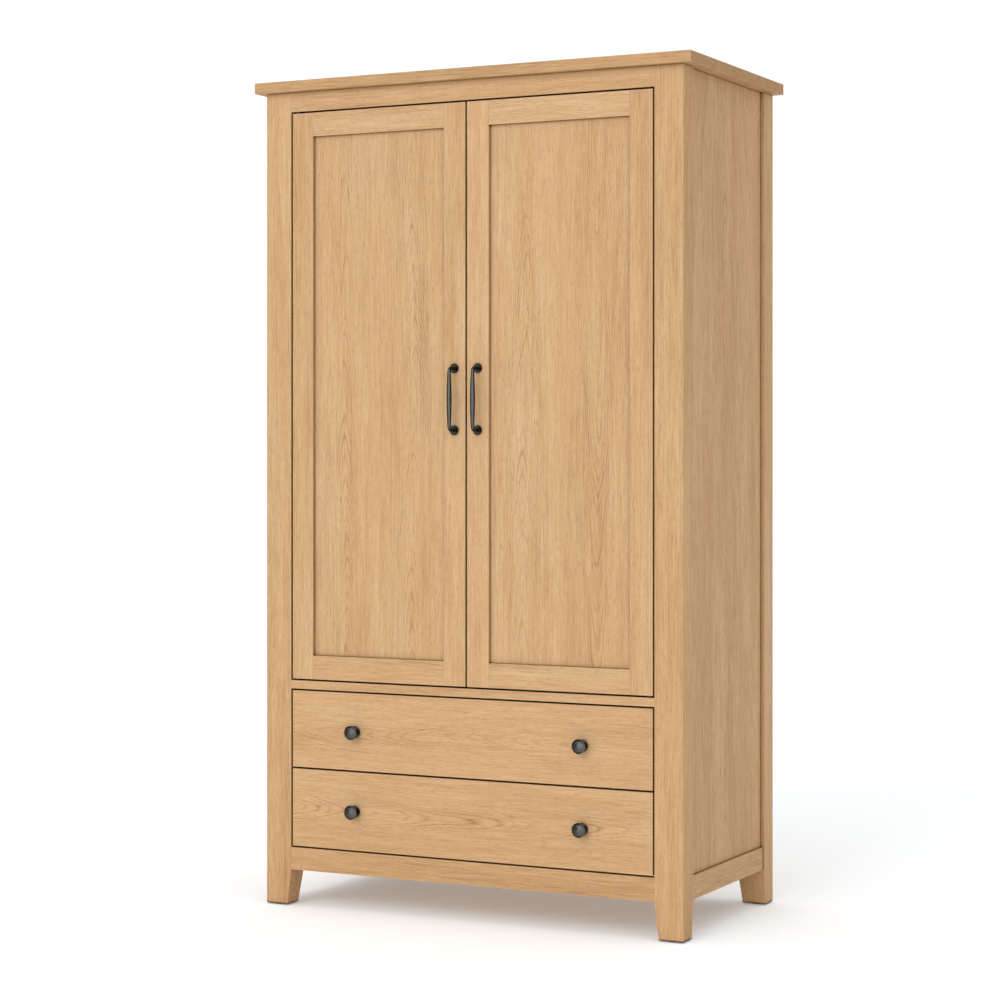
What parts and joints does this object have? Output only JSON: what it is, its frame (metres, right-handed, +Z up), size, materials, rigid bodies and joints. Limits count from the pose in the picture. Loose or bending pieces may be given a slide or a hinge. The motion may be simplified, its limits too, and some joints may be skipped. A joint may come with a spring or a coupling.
{
  "type": "armoire",
  "caption": "Tall oak armoire: inset panelled doors with bow handles over a hanging space, drawers with round knobs below, overhanging crown board, tapered feet.",
  "frame": {"origin": "on the floor, under the centre of the object's overall box", "axes": "+Z up, +X to the right of someone facing the doors, the doors and drawers face -Y"},
  "size_m": [1.09, 0.581, 1.9],
  "materials": {
    "oak": "satin lacquered oak",
    "oak_ply": "oak veneered plywood",
    "drawer_wood": "plain lacquered softwood",
    "dark_metal": "dark gunmetal, satin",
    "steel": "zinc plated",
    "rail_chrome": "polished",
    "brass": "turned",
    "magnet": "nickel plated, matt",
    "glide_plastic": "matt"
  },
  "bodies": {
    "carcass": {"post_front_left": "oak", "post_front_right": "oak", "post_back_left": "oak", "post_back_right": "oak", "crown_board": "oak", "front_top_rail": "oak", "front_mid_rail": "oak", "front_bottom_rail": "oak", "side_panel_left": "oak", "side_panel_right": "oak", "side_bottom_rail_left": "oak", "side_bottom_rail_right": "oak", "back_panel": "oak_ply", "back_top_rail": "oak", "back_mid_rail": "oak", "back_bottom_rail": "oak", "wardrobe_floor": "oak", "side_cleats": "drawer_wood", "upper_drawer_runners": "drawer_wood", "lower_drawer_runners": "drawer_wood", "hanging_rail": "rail_chrome", "rail_sockets": "rail_chrome", "door_stop": "oak", "door_magnets": "magnet", "pivot_pins": "steel", "foot_glides": "glide_plastic", "crown_screws": "steel", "back_panel_screws": "steel"},
    "left_door": {"left_door_hinge_stile": "oak", "left_door_meeting_stile": "oak", "left_door_top_rail": "oak", "left_door_bottom_rail": "oak", "left_door_panel": "oak", "left_door_pivot_bushes": "brass", "left_door_handle": "dark_metal", "left_door_handle_screws": "steel", "left_door_strike_plate": "steel"},
    "right_door": {"right_door_hinge_stile": "oak", "right_door_meeting_stile": "oak", "right_door_top_rail": "oak", "right_door_bottom_rail": "oak", "right_door_panel": "oak", "right_door_pivot_bushes": "brass", "right_door_handle": "dark_metal", "right_door_handle_screws": "steel", "right_door_strike_plate": "steel"},
    "upper_drawer": {"upper_drawer_front": "oak", "upper_drawer_side_left": "drawer_wood", "upper_drawer_side_right": "drawer_wood", "upper_drawer_back": "drawer_wood", "upper_drawer_bottom": "oak_ply", "upper_drawer_knobs": "dark_metal", "upper_drawer_knob_screws": "steel"},
    "lower_drawer": {"lower_drawer_front": "oak", "lower_drawer_side_left": "drawer_wood", "lower_drawer_side_right": "drawer_wood", "lower_drawer_back": "drawer_wood", "lower_drawer_bottom": "oak_ply", "lower_drawer_knobs": "dark_metal", "lower_drawer_knob_screws": "steel"}
  },
  "joints": [
    {"name": "left_door_hinge", "type": "hinge", "parent": "carcass", "child": "left_door", "pos_m": [-0.439, -0.2525, 1.175], "axis": [0, 0, -1], "range_deg": [0, 110]},
    {"name": "right_door_hinge", "type": "hinge", "parent": "carcass", "child": "right_door", "pos_m": [0.439, -0.2525, 1.175], "axis": [0, 0, 1], "range_deg": [0, 110]},
    {"name": "upper_drawer_slide", "type": "slide", "parent": "carcass", "child": "upper_drawer", "axis": [0, -1, 0], "range_m": [0, 0.35]},
    {"name": "lower_drawer_slide", "type": "slide", "parent": "carcass", "child": "lower_drawer", "axis": [0, -1, 0], "range_m": [0, 0.35]}
  ]
}
